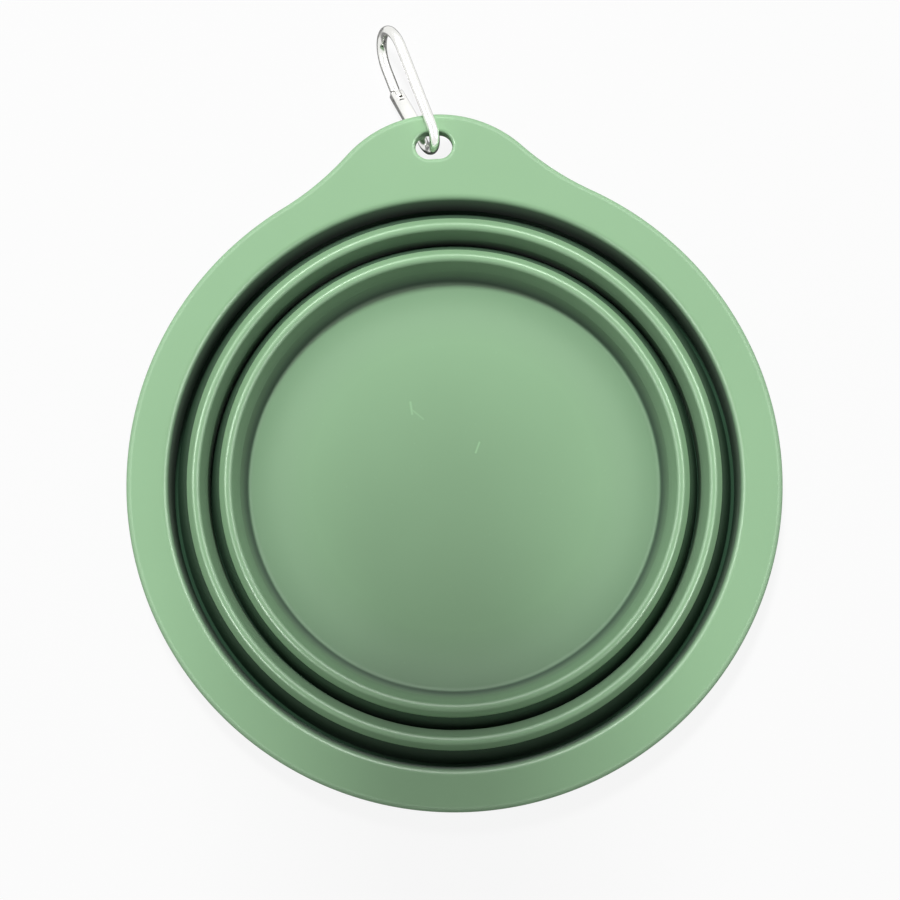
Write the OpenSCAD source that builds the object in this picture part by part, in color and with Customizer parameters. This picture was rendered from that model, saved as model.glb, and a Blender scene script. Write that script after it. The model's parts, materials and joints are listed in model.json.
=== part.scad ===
// Collapsible silicone bowl with a hang tab and a wire snap hook, folded flat.
// Origin at the centre of the base's underside, +Z up, +Y towards the hang tab.

/* [Bowl] */
// Outer diameter of the rim flange
rim_d = 180; // [150:1:240]
// Width of the flat rim, from the wall to its outer edge
rim_w = 11.6; // [10:0.1:20]
// Height of the rim's top face above the table, folded
rim_h = 14.5; // [13.6:0.1:16]
// Thickness of the rim flange and its tab
flange_t = 5; // [4.6:0.1:5.2]
// Height of the two rounded crests above the table, folded
crest_h = 15; // [14.4:0.1:16]
// Gap between the rim's wall and the upper crest
upper_gap = 4.9; // [3:0.05:6]
// Gap between the middle ring and the lower crest
lower_gap = 3.35; // [3:0.05:6]
// Width of a crest, across its inner and outer edges
crest_w = 5.5; // [5:0.1:7]
// How far the floor's edge lies inside the lower crest's inner edge
floor_draft = 1.55; // [0.5:0.05:3]
// Thickness of the floor
floor_t = 2.4; // [1.8:0.1:3]
// Thickness of the stiff walls
wall_t = 2.2; // [1.8:0.1:2.4]
// Thickness of the thin webs that turn inside out
web_t = 1.1; // [0.8:0.05:1.3]
// Height of a web between its crest and its valley
web_h = 10; // [9:0.1:10.4]

/* [Hang tab] */
// How far the tab's tip stands out from the rim
tab_out = 13.3; // [13:0.1:20]
// Radius of the tab's round tip
tab_tip_r = 34.5; // [30:0.5:38]
// Radius of the hollow curves that join the tab to the rim
tab_fillet_r = 80; // [60:1:100]
// Length of the slot, along the rim
slot_l = 10.4; // [10.4:0.1:12]
// Width of the slot, towards the bowl's centre
slot_w = 7.5; // [7.5:0.1:8.5]
// Band left between the slot and the tip of the tab
slot_band = 5.4; // [5:0.1:5.5]

/* [Snap hook] */
// Diameter of the hook's wire
wire_d = 2.9; // [2.6:0.05:2.95]
// Length of the hook over its two bends
hook_l = 40; // [36:0.5:46]
// Centre-line radius of the bend in the tab's slot
near_bend_r = 5.15; // [5.1:0.05:5.3]
// Centre-line radius of the far bend
far_bend_r = 7.8; // [7:0.1:8.4]
// How far the bend's centre lies behind the tab's band
bend_back = 1.9; // [1.6:0.1:2.2]
// Distance along the hook from the gate's pivot to the gate's end
gate_reach = 14.75; // [14:0.25:17]
// Width of the gate across the hook
gate_w = 3.8; // [3.6:0.1:4.2]
// Depth of the gate in the hook's plane
gate_h = 2.8; // [2.6:0.1:3]
// Turn of the hook in plan, away from the tab's axis
hook_yaw = 17; // [14:0.5:18]
// Lean of the hook's plane from upright
hook_lean = 18; // [16:0.5:19]

/* [Hidden] */
$fn = 96;

silicone = "#86ab86";
silicone_dark = "#7aa07b";
steel = "#c9ccd0";
spring_steel = "#9da3aa";

// Levels of the fold
crest_under = 2.4;
web_top_z = crest_h - crest_under;
web_foot_z = web_top_z - web_h;
web_foot_t = 1.3;
crest_edge_drop = 5.1;
crest_share = [[0, 0], [0.3, 0.8], [0.34, 0.88], [0.4, 0.94], [0.475, 0.985], [0.56, 1],
               [0.66, 0.975], [0.74, 0.91], [1, 0.58]];

// Radii
rim_r = rim_d / 2;
mouth_r = rim_r - rim_w;
upper_crest_r = mouth_r - upper_gap;
middle_wall_r = upper_crest_r - crest_w;
lower_crest_r = middle_wall_r - lower_gap;
floor_r = lower_crest_r - crest_w - floor_draft;
wall_lean = 0.4;
groove_w = 0.9;

// Rounded edges
lip_r = 1.8;
edge_r = 1.5;
slot_edge = 1;
edge_steps = 4;
slot_facets = 12;
foot_r = 1.2;
web_foot_edge = 0.4;
plate_in = 5.6;

// Tab
tab_reach = rim_r + tab_out;
tab_tip_y = tab_reach - tab_tip_r;
fillet_a = rim_r + tab_fillet_r;
fillet_b = tab_tip_r + tab_fillet_r;
fillet_y = (fillet_a * fillet_a - fillet_b * fillet_b + tab_tip_y * tab_tip_y) / (2 * tab_tip_y);
fillet_x = sqrt(fillet_a * fillet_a - fillet_y * fillet_y);
slot_y = tab_reach - slot_band - slot_w / 2;

// Hook, in its own plane: s runs from the band's centre to the far bend, t runs up
wire_r = wire_d / 2;
run_lap = 0.1;
hook_x = -2.4;
band_y = tab_reach - slot_band / 2;
band_z = rim_h - flange_t / 2;
table_gap = 0.2;
near_s = -bend_back;
end_s = near_s - near_bend_r - wire_r + hook_l;
far_s = end_s - wire_r - far_bend_r;
far_t = near_bend_r - far_bend_r;
nose_t = far_t - far_bend_r;
low_reach = (band_z - wire_r - table_gap) / cos(hook_lean) - far_bend_r;
hook_droop = asin(low_reach / norm([far_s, far_t])) - atan2(-far_t, far_s);

// Gate, from its pivot to the nose
heel_r = gate_h / 2;
heel_gap = 0.25;
pivot_s = near_s + heel_r + heel_gap;
pivot_t = -near_bend_r - heel_gap;
nose_s = pivot_s + gate_reach;
gate_a = atan2(nose_t - pivot_t, nose_s - pivot_s);
gate_l = norm([nose_s - pivot_s, nose_t - pivot_t]);
tongue_t = 1.3;
tongue_trim = 0.5;
gate_round = 4.3;
side_gap = 0.15;
end_gap = 0.35;
pivot_d = 1.3;
pin_gap = 0.05;
latch_d = 1;
latch_back = 2.1;
tongue_l = 3.3;
heel_slot = heel_r + 1.1;
nose_slot = tongue_l + end_gap;
eye_r = 1.25;
cam_rise = 0.4;
cam_turn = 30;
cam_gap = 0.15;
bore_d = 1.5;
plunger_d = 1.2;
plunger_l = 1.6;
plunger_x = eye_r + cam_gap + plunger_d / 2;
spring_wire = 0.25;
spring_turns = 4;
spring_l = 3.2;
spring_play = cam_rise + pin_gap;
spring_x = plunger_x + plunger_l + spring_play;
spring_rings = 16;
spring_sides = 6;
cut = 1;

// Points on an arc, from one angle to another
function arc(c, r, from, to, n = 6) =
    [for (i = [0:n]) let (a = from + (to - from) * i / n) c + r * [cos(a), sin(a)]];

// The top of a crest between its inner and outer edges, inner edge first
function crest_top(inner) =
    [for (p = crest_share) [inner + crest_w * p[0],
                            crest_h - crest_edge_drop * (1 - p[1])]];

// A crest with the stiff wall that hangs from its inner edge
function crest_wall(inner, foot, foot_z) = concat(
    [[foot, foot_z]],
    crest_top(inner),
    [[inner + crest_w, web_top_z], [inner + wall_t + wall_lean, web_top_z], [foot + wall_t, foot_z]]);

// A thin web from under a crest's outer edge to the foot of the next wall out
function web(top, wall_in) = let (low = wall_in - groove_w) [
    [top - web_t, web_top_z],
    [top, web_top_z],
    [low, web_foot_z],
    [wall_in + wall_t, web_foot_z],
    [wall_in + wall_t, web_foot_z - web_foot_t + web_foot_edge],
    [wall_in + wall_t - web_foot_edge, web_foot_z - web_foot_t],
    [low - web_t + web_foot_edge, web_foot_z - web_foot_t],
    [low - web_t, web_foot_z - web_foot_t + web_foot_edge],
    [low - web_t, web_foot_z]];

// Outline of the flange with its tab, drawn in by a step
module flange_outline(inset) {
    circle(r = rim_r - inset, $fn = 180);
    translate([0, tab_tip_y]) circle(r = tab_tip_r - inset);
    difference() {
        polygon([[0, 0], [fillet_x, fillet_y], [0, tab_tip_y], [-fillet_x, fillet_y]]);
        for (side = [-1, 1])
            translate([side * fillet_x, fillet_y]) circle(r = tab_fillet_r + inset, $fn = 180);
    }
}

// Outline of the slot with its round ends, let out by a step
module slot_outline(grow) {
    end_x = (slot_l - slot_w) / 2;
    end_r = slot_w / 2 + grow;
    polygon(concat(arc([end_x, slot_y], end_r, -90, 90, slot_facets),
                   arc([-end_x, slot_y], end_r, 90, 270, slot_facets)));
}

// One layer of the flange, outside the lip that a turned ring forms
module flange_layer(z, h, inset, grow) {
    translate([0, 0, z]) linear_extrude(h) difference() {
        flange_outline(inset);
        circle(r = mouth_r + plate_in, $fn = 180);
        slot_outline(grow);
    }
}

// The flange's edges step in above and below, where the moulding is rounded
module rim_flange() {
    under = rim_h - flange_t;
    color(silicone) union() {
        for (k = [0:edge_steps - 1]) {
            low = edge_r * (1 - cos(90 * k / edge_steps));
            high = edge_r * (1 - cos(90 * (k + 1) / edge_steps));
            inset_share = 1 - sin(90 * k / edge_steps);
            flange_layer(under + low, high - low, edge_r * inset_share, slot_edge * inset_share);
            flange_layer(rim_h - high, high - low, edge_r * inset_share, slot_edge * inset_share);
        }
        flange_layer(under + edge_r, flange_t - 2 * edge_r, 0, 0);
        rotate_extrude($fn = 180) polygon(concat(
            [[mouth_r - wall_lean + wall_t, web_foot_z], [mouth_r - wall_lean, web_foot_z]],
            arc([mouth_r + lip_r, rim_h - lip_r], lip_r, 180, 90),
            [[mouth_r + plate_in, rim_h], [mouth_r + plate_in, under],
             [mouth_r + wall_t, under]]));
    }
}

module upper_web() {
    color(silicone_dark) rotate_extrude($fn = 180) polygon(web(upper_crest_r, mouth_r - wall_lean));
}

module middle_ring() {
    color(silicone) rotate_extrude($fn = 180)
        polygon(crest_wall(middle_wall_r, middle_wall_r, web_foot_z));
}

module lower_web() {
    color(silicone_dark) rotate_extrude($fn = 180) polygon(web(lower_crest_r, middle_wall_r));
}

// Floor and inner wall in one, up to the lower crest
module base_cup() {
    inner = lower_crest_r - crest_w;
    color(silicone) rotate_extrude($fn = 180) polygon(concat(
        [[0, 0], [floor_r + wall_t - foot_r, 0]],
        arc([floor_r + wall_t - foot_r, foot_r], foot_r, -90, 0, 4),
        [[inner + wall_t + wall_lean, web_top_z], [inner + crest_w, web_top_z]],
        [for (i = [len(crest_share) - 1:-1:0]) crest_top(inner)[i]],
        [[floor_r, floor_t], [0, floor_t]]));
}

// Puts a piece drawn in the hook's plane in its place through the tab's slot
module in_hook_plane() {
    translate([hook_x, band_y, band_z]) rotate([0, 0, 90 + hook_yaw])
        rotate([90 + hook_lean, 0, 0]) rotate([0, 0, -hook_droop]) children();
}

// Turns a piece drawn along the gate about the gate's pivot, within the hook's plane
module at_gate_pivot() {
    translate([pivot_s, pivot_t, 0]) rotate([0, 0, gate_a]) children();
}

module on_gate() {
    in_hook_plane() at_gate_pivot() children();
}

// A bent piece of the wire, round its own centre
module bend(s, t, r, from, turn) {
    translate([s, t, 0]) rotate([0, 0, from])
        rotate_extrude(angle = turn) translate([r, 0]) circle(r = wire_r, $fn = 32);
}

// A straight piece of the wire along the hook, drawn from both its ends to past the middle
module run(from_s, to_s, t) {
    half = (to_s - from_s) / 2 + run_lap;
    translate([from_s, t, 0]) rotate([0, 90, 0]) cylinder(h = half, r = wire_r, $fn = 32);
    translate([to_s, t, 0]) rotate([0, -90, 0]) cylinder(h = half, r = wire_r, $fn = 32);
}

// The bent wire: eye for the pivot, bend, long leg, far bend, nose and its flat tongue
module hook_frame() {
    cap_s = nose_s - heel_r * sin(gate_a) + end_gap;
    color(steel) in_hook_plane() difference() {
        union() {
            bend(near_s, 0, near_bend_r, 90, 180);
            run(near_s, far_s, near_bend_r);
            bend(far_s, far_t, far_bend_r, -90, 180);
            run(cap_s, far_s, nose_t);
            at_gate_pivot() translate([gate_l - tongue_l, tongue_trim - heel_r, -tongue_t / 2])
                cube([tongue_l + (cap_s - nose_s) + wire_r / 2, gate_h - tongue_trim, tongue_t]);
            at_gate_pivot() translate([0, 0, -tongue_t / 2]) linear_extrude(tongue_t) polygon(cam());
            translate([near_s - wire_r / 2, -near_bend_r - wire_r, -tongue_t / 2])
                cube([pivot_s - near_s + wire_r / 2, wire_d, tongue_t]);
        }
        at_gate_pivot() {
            translate([0, 0, -gate_w]) cylinder(h = 2 * gate_w, d = pivot_d + 2 * pin_gap);
            translate([gate_l - latch_back, 0, -gate_w])
                cylinder(h = 2 * gate_w, d = latch_d + 4 * pin_gap);
            translate([gate_l - latch_back - latch_d / 2 - 2 * pin_gap, 0, -gate_w])
                cube([latch_d + 4 * pin_gap, gate_h, 2 * gate_w]);
        }
    }
}

// The eye's rim rises evenly as the gate opens, and pushes the plunger back
function cam() = [for (a = [-180:10:170])
    let (r = eye_r + cam_rise * max(0, min(1, a / cam_turn))) r * [cos(a), sin(a)]];

// The gate: a slotted bar that straddles the eye and the tongue
module gate() {
    color(steel) on_gate() difference() {
        union() {
            translate([0, 0, -gate_w / 2]) cylinder(h = gate_w, r = heel_r);
            intersection() {
                translate([0, -heel_r, -gate_w / 2]) cube([gate_l, gate_h, gate_w]);
                rotate([0, 90, 0]) cylinder(h = gate_l, d = gate_round);
            }
        }
        translate([-heel_r - cut, -gate_h, -tongue_t / 2 - side_gap])
            cube([heel_r + cut + heel_slot, 2 * gate_h, tongue_t + 2 * side_gap]);
        translate([gate_l - nose_slot, -gate_h, -tongue_t / 2 - side_gap])
            cube([nose_slot + cut, 2 * gate_h, tongue_t + 2 * side_gap]);
        rotate([0, 90, 0]) cylinder(h = spring_x + spring_l + pin_gap, d = bore_d);
        translate([0, 0, -gate_w]) cylinder(h = 2 * gate_w, d = pivot_d);
        translate([gate_l - latch_back, 0, -gate_w]) cylinder(h = 2 * gate_w, d = latch_d);
    }
}

// Rivet through the gate's heel and the frame's eye
module gate_pivot() {
    color(steel) on_gate() translate([0, 0, -gate_w / 2]) cylinder(h = gate_w, d = pivot_d);
}

// Cross pin that the notch in the tongue holds when the hook is loaded
module latch_pin() {
    color(steel) on_gate() translate([gate_l - latch_back, 0, -gate_w / 2])
        cylinder(h = gate_w, d = latch_d);
}

// Pin with a round tip that the spring pushes against the eye's rim
module gate_plunger() {
    color(steel) on_gate() translate([plunger_x, 0, 0]) {
        sphere(d = plunger_d, $fn = 32);
        rotate([0, 90, 0]) cylinder(h = plunger_l, d = plunger_d, $fn = 32);
    }
}

// Rings of points round a helix that runs along the gate
function spring_ring(k) = let (
    coil_r = (plunger_d - spring_wire) / 2,
    turn = 360 * k / spring_rings,
    rise = (spring_l - spring_wire) / spring_turns,
    at = [spring_x + spring_wire / 2 + rise * k / spring_rings, coil_r * cos(turn), coil_r * sin(turn)],
    out = [0, cos(turn), sin(turn)],
    ahead = [rise / (2 * PI * coil_r), -sin(turn), cos(turn)],
    across = cross(ahead / norm(ahead), out))
    [for (i = [0:spring_sides - 1]) let (a = 360 * i / spring_sides)
        at + spring_wire / 2 * (cos(a) * out + sin(a) * across)];

// Return spring of the gate, one unbroken coil
module gate_spring() {
    last = spring_rings * spring_turns;
    points = [for (k = [0:last]) each spring_ring(k)];
    sides = [for (k = [0:last - 1], i = [0:spring_sides - 1])
        let (a = k * spring_sides + i, b = k * spring_sides + (i + 1) % spring_sides)
        each [[a, a + spring_sides, b], [b, a + spring_sides, b + spring_sides]]];
    ends = [for (i = [1:spring_sides - 2]) each
        [[0, i, i + 1], last * spring_sides * [1, 1, 1] + [0, i + 1, i]]];
    color(spring_steel) on_gate() polyhedron(points, concat(sides, ends));
}

base_cup();
lower_web();
middle_ring();
upper_web();
rim_flange();
hook_frame();
gate();
gate_pivot();
latch_pin();
gate_spring();
gate_plunger();
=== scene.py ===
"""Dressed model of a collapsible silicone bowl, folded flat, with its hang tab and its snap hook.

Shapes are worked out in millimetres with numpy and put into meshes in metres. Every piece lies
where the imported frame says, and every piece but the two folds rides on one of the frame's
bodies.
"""

from __future__ import annotations

import json
import logging
import math
from dataclasses import dataclass, field
from enum import Enum
from typing import Any, Sequence

import bmesh
import bpy
import numpy as np
from mathutils import Matrix, Vector

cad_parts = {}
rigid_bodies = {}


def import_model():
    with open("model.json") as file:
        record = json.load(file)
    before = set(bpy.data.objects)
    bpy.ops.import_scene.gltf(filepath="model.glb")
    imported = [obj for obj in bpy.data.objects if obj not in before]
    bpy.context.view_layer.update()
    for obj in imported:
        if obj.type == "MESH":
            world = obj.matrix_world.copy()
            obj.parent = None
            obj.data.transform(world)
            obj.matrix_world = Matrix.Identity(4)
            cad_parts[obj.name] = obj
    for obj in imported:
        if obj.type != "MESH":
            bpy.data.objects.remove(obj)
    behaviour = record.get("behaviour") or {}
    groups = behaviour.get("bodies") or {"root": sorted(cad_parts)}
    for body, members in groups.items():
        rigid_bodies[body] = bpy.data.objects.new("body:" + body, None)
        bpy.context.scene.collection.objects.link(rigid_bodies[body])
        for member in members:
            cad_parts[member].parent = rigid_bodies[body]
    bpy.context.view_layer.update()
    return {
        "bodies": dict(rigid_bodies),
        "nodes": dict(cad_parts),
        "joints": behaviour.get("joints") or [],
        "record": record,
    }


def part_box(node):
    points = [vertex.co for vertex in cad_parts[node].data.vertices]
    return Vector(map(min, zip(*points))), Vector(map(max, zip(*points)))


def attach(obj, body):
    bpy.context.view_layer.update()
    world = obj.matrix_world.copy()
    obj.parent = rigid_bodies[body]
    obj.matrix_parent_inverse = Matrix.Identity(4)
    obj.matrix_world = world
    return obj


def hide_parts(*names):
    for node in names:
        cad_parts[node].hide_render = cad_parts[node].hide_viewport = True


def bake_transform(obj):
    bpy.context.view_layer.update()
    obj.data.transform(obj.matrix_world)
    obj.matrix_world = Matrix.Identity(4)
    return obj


MM = 0.001
SAME = 1e-6  # points nearer than this, in millimetres, are one
TINY = 1e-9
SHARP_ANGLE = 35.0  # past this many degrees an edge stays crisp
MIX_LOW, MIX_HIGH, MIX_RESULT = 6, 7, 2  # the Mix node's colour sockets
# Name of the mesh attribute that holds painted shade, from 0 to 1, in folds and corners.
PAINTED_SHADE = "depth"
RUBBED = "rubbed"
LOG = logging.getLogger("bowl")
Colour = tuple[float, float, float]
Place = tuple[float, float, float]
WHITE: Colour = (1.0, 1.0, 1.0)


class Ends(Enum):
    """How a skin of rings ends: joined to itself, or closed at a middle point at both ends."""

    JOINED = "joined"
    CAPPED = "capped"


class Slot(Enum):
    """The record's material slots."""

    SILICONE = "silicone"
    WEB = "silicone_web"
    WIRE = "plated_wire"
    SPRING = "spring_wire"


class Field:
    """A number that varies over a surface. Python's operators on it add Math nodes."""

    def __init__(self, graph: Graph, socket: bpy.types.NodeSocket) -> None:
        """Wraps one output socket of a graph."""
        self.graph = graph
        self.socket = socket

    def __add__(self, other: Field | float) -> Field:
        """This plus other."""
        return self.graph.math("ADD", self, other)

    def __sub__(self, other: Field | float) -> Field:
        """This minus other."""
        return self.graph.math("SUBTRACT", self, other)

    def __rsub__(self, other: float) -> Field:
        """Other minus this."""
        return self.graph.math("SUBTRACT", other, self)

    def __mul__(self, other: Field | float) -> Field:
        """This times other."""
        return self.graph.math("MULTIPLY", self, other)

    __radd__ = __add__
    __rmul__ = __mul__

    def at_most(self, other: Field | float) -> Field:
        """The lesser of this and other."""
        return self.graph.math("MINIMUM", self, other)

    def at_least(self, other: Field | float) -> Field:
        """The greater of this and other."""
        return self.graph.math("MAXIMUM", self, other)

    def step(self, low: float, high: float) -> Field:
        """Rises smoothly from 0 at low to 1 at high, or falls where high is the lesser.

        Args:
            low: the value at which the result is 0.
            high: the value at which the result is 1.

        Returns:
            The smooth step.
        """
        made = self.graph.node("ShaderNodeMapRange", {"interpolation_type": "SMOOTHSTEP"},
                               {"Value": self, "From Min": low, "From Max": high})
        return Field(self.graph, made.outputs["Result"])


class Graph:
    """The node tree of one material or world."""

    def __init__(self, owner: bpy.types.Material | bpy.types.World) -> None:
        """Switches on the owner's nodes and clears them."""
        owner.use_nodes = True
        self.tree = owner.node_tree
        self.tree.nodes.clear()

    def node(self, kind: str, settings: dict[str, Any] | None = None,
             sockets: dict[str | int, Any] | None = None) -> bpy.types.Node:
        """Adds a node.

        Args:
            kind: the node's type.
            settings: its own settings, which are set first.
            sockets: a value or a link for each of its input sockets, by name or number.

        Returns:
            The new node.
        """
        made = self.tree.nodes.new(kind)
        for name, value in (settings or {}).items():
            setattr(made, name, value)
        for key, value in (sockets or {}).items():
            if isinstance(value, Field):
                self.tree.links.new(value.socket, made.inputs[key])
            elif isinstance(value, bpy.types.NodeSocket):
                self.tree.links.new(value, made.inputs[key])
            else:
                made.inputs[key].default_value = value
        return made

    def math(self, operation: str, first: Field | float, second: Field | float) -> Field:
        """One Math node on two numbers."""
        made = self.node("ShaderNodeMath", {"operation": operation}, {0: first, 1: second})
        return Field(self, made.outputs["Value"])

    def vector(self, operation: str, *values: Any) -> bpy.types.Node:
        """One Vector Math node on vectors."""
        return self.node("ShaderNodeVectorMath", {"operation": operation},
                         dict(enumerate(values)))

    def place(self) -> bpy.types.NodeSocket:
        """The place on the object, in millimetres."""
        spot = self.node("ShaderNodeTexCoord").outputs["Object"]
        made = self.vector("SCALE", spot)
        made.inputs["Scale"].default_value = 1 / MM
        return made.outputs["Vector"]

    def noise(self, place: bpy.types.NodeSocket, size: float, detail: float = 2.0,
              stretch: Place = (1.0, 1.0, 1.0)) -> Field:
        """Smooth noise from 0 to 1.

        Args:
            place: the place in millimetres.
            size: width of its largest lumps in millimetres.
            detail: how many finer layers are added.
            stretch: how often the lumps repeat along each axis, next to a plain lump.

        Returns:
            The noise.
        """
        spot = self.vector("MULTIPLY", place, stretch).outputs["Vector"]
        made = self.node("ShaderNodeTexNoise", {},
                         {"Vector": spot, "Scale": 1 / size, "Detail": detail})
        return Field(self, made.outputs["Fac"])

    def blend(self, factor: Field, low: Any, high: Any) -> bpy.types.NodeSocket:
        """Mixes two colours, low where factor is 0 and high where it is 1."""
        made = self.node("ShaderNodeMix", {"data_type": "RGBA"},
                         {"Factor": factor, MIX_LOW: low, MIX_HIGH: high})
        return made.outputs[MIX_RESULT]

    def bump(self, height: Field, depth: float) -> bpy.types.NodeSocket:
        """Relief of the given depth in millimetres."""
        made = self.node("ShaderNodeBump", {}, {"Height": height, "Distance": depth * MM})
        return made.outputs["Normal"]

    def finish(self, shader: bpy.types.NodeSocket, kind: str = "ShaderNodeOutputMaterial") -> None:
        """Sends the shader to the output."""
        self.node(kind, {}, {"Surface": shader})


def shade(colour: Colour, factor: float) -> tuple[float, float, float, float]:
    """The colour made lighter or darker by a factor, with full alpha."""
    return (colour[0] * factor, colour[1] * factor, colour[2] * factor, 1.0)


@dataclass(frozen=True)
class Mark:
    """A small light mark left on the bowl's floor, between two points in millimetres."""

    start: tuple[float, float]
    end: tuple[float, float]
    width: float
    strength: float


@dataclass(frozen=True)
class Silicone:
    """Moulded silicone with a soft satin skin.

    The colour drifts slowly over the surface. A fine grain and a faint larger unevenness give
    the relief, and flecks of dust and a few small marks lighten the skin. The mesh's depth
    attribute holds painted shade: where it is high, in folds and corners and on faces turned to
    the axis, the colour is darkened towards the shade colour and the skin is rougher. Where its
    rubbed attribute says that an edge is rubbed by hands, the skin is more matt.
    """

    name: str
    colour: Colour
    roughness: float = 0.33
    gloss: float = 0.5
    ior: float = 1.42
    cloud: float = 46.0
    drift: float = 0.035
    cloud_rough: float = 0.06
    grain: float = 0.3
    grain_depth: float = 0.006
    grain_rough: float = 0.05
    swell: float = 9.0
    swell_depth: float = 0.02
    fleck: float = 0.9
    fleck_range: tuple[float, float] = (0.74, 0.8)
    dust: float = 0.06
    worn_lift: float = 1.9
    marks: tuple[Mark, ...] = ()
    # Colour of the painted shade in folds and corners, where the depth attribute is 1.
    painted_shade_colour: Colour = (0.016, 0.048, 0.027)
    deep_rough: float = 0.8
    rubbed_rough: float = 0.4

    def material(self) -> bpy.types.Material:
        """Makes the material.

        Returns:
            The finished material.
        """
        made = bpy.data.materials.new(self.name)
        graph = Graph(made)
        place = graph.place()
        grain = graph.noise(place, self.grain, detail=3.0)
        swell = graph.noise(place, self.swell, detail=1.0)
        cloud = graph.noise(place, self.cloud, detail=3.0)
        light = graph.noise(place, self.fleck, detail=1.0).step(*self.fleck_range) * self.dust
        for mark in self.marks:
            light = light.at_least(self.mark_mask(graph, place, mark))
        body = graph.blend(cloud, shade(self.colour, 1 - self.drift),
                           shade(self.colour, 1 + self.drift))
        worn = graph.blend(light, body, shade(self.colour, self.worn_lift))
        depth, rubbed = (
            Field(graph, graph.node("ShaderNodeAttribute", {"attribute_name": name}).outputs["Fac"])
            for name in (PAINTED_SHADE, RUBBED))
        # Painted shade: the colour darkens towards the shade colour where the depth attribute is high.
        base = graph.blend(depth, worn, shade(self.painted_shade_colour, 1))
        rough = self.roughness + self.cloud_rough * (cloud - 0.5) + self.grain_rough * (grain - 0.5)
        rough = rough + self.deep_rough * depth + self.rubbed_rough * rubbed
        relief = grain + (self.swell_depth / self.grain_depth) * swell
        shader = graph.node("ShaderNodeBsdfPrincipled", {}, {
            "Base Color": base, "Roughness": rough, "IOR": self.ior, "Specular IOR Level": self.gloss,
            "Normal": graph.bump(relief, self.grain_depth)})
        graph.finish(shader.outputs["BSDF"])
        return made

    @staticmethod
    def mark_mask(graph: Graph, place: bpy.types.NodeSocket, mark: Mark) -> Field:
        """A soft capsule round the mark's line, seen from above.

        A point's share along the line is its dot product with the line over the line's squared
        length, held between 0 and 1, and the mask falls with the distance from that point.

        Args:
            graph: the material's graph.
            place: the place in millimetres.
            mark: the mark.

        Returns:
            The mask, up to the mark's strength.
        """
        flat = graph.vector("MULTIPLY", place, (1.0, 1.0, 0.0)).outputs["Vector"]
        start = Vector((*mark.start, 0.0))
        line = Vector((*mark.end, 0.0)) - start
        rel = graph.vector("SUBTRACT", flat, start).outputs["Vector"]
        along = Field(graph, graph.vector("DOT_PRODUCT", rel, line).outputs["Value"])
        share = (along * (1 / line.length_squared)).at_least(0.0).at_most(1.0)
        foot = graph.vector("SCALE", line)
        graph.tree.links.new(share.socket, foot.inputs["Scale"])
        gap = graph.vector("DISTANCE", rel, foot.outputs["Vector"]).outputs["Value"]
        return Field(graph, gap).step(mark.width, 0.0) * mark.strength


@dataclass(frozen=True)
class PlatedSteel:
    """Bright plated steel, with faint drawing lines and smudges that vary its gloss."""

    name: str
    colour: Colour
    roughness: float
    line: float = 0.35
    line_stretch: Place = (1.0, 0.12, 1.0)
    line_depth: float = 0.0004
    cloud: float = 5.0
    tone: tuple[float, float] = (0.93, 1.04)
    smudge: float = 0.08

    def material(self) -> bpy.types.Material:
        """Makes the material.

        Returns:
            The finished material.
        """
        made = bpy.data.materials.new(self.name)
        graph = Graph(made)
        place = graph.place()
        lines = graph.noise(place, self.line, stretch=self.line_stretch)
        cloud = graph.noise(place, self.cloud, detail=3.0)
        base = graph.blend(cloud, shade(self.colour, self.tone[0]), shade(self.colour, self.tone[1]))
        shader = graph.node("ShaderNodeBsdfPrincipled", {}, {
            "Base Color": base, "Metallic": 1.0,
            "Roughness": self.roughness + self.smudge * cloud,
            "Normal": graph.bump(lines, self.line_depth)})
        graph.finish(shader.outputs["BSDF"])
        return made


@dataclass(frozen=True)
class PaleFloor:
    """A white table: partly shaded, so that it keeps the shadow, and partly plain white."""

    name: str = "pale_table"
    tone: float = 0.6
    drift: float = 0.01
    cloud: float = 180.0
    plain_share: float = 0.9

    def material(self) -> bpy.types.Material:
        """Makes the material.

        Returns:
            The finished material.
        """
        made = bpy.data.materials.new(self.name)
        graph = Graph(made)
        place = graph.place()
        tone = graph.blend(graph.noise(place, self.cloud), shade(WHITE, self.tone - self.drift),
                           shade(WHITE, self.tone + self.drift))
        table = graph.node("ShaderNodeBsdfDiffuse", {}, {"Color": tone})
        plain = graph.node("ShaderNodeEmission", {}, {"Color": shade(WHITE, 1), "Strength": 1.0})
        seen = seen_directly(graph) * self.plain_share
        mixed = graph.node("ShaderNodeMixShader", {}, {
            0: seen, 1: table.outputs["BSDF"], 2: plain.outputs["Emission"]})
        graph.finish(mixed.outputs["Shader"])
        return made


def seen_directly(graph: Graph) -> Field:
    """1 for what the camera, a gloss or a clear surface sees, and 0 for light that fills in."""
    path = graph.node("ShaderNodeLightPath")
    camera, glossy, clear = (Field(graph, path.outputs[f"Is {kind} Ray"])
                             for kind in ("Camera", "Glossy", "Transmission"))
    return camera.at_least(glossy).at_least(clear)


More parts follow.
